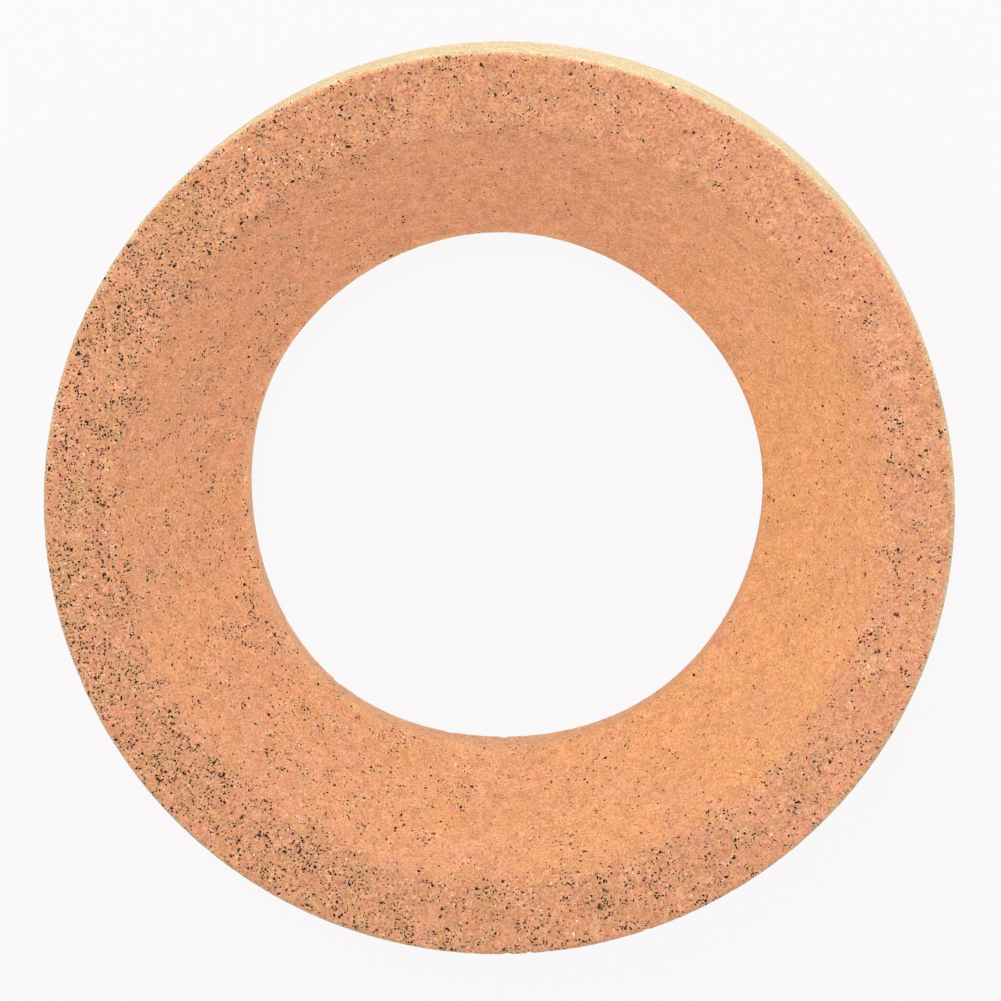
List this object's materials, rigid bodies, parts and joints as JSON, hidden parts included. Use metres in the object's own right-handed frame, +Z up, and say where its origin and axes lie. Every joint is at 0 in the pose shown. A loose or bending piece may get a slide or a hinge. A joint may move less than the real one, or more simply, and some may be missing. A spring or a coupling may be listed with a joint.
{
  "type": "cork ring",
  "caption": "Pressed cork ring with a flat rim and a conical well over a through hole, which holds a round-bottomed flask upright.",
  "frame": {"origin": "centre of the base, on the surface the ring stands on", "axes": "+Z up along the ring's axis, from the base towards the flat rim and the mouth of the well; +X and +Y are any two square directions across it"},
  "size_m": [0.14, 0.14, 0.03],
  "materials": {
    "cork": "matte pressed cork granules, turned and sanded"
  },
  "bodies": {
    "root": {"cork_ring": "cork"}
  },
  "joints": []
}
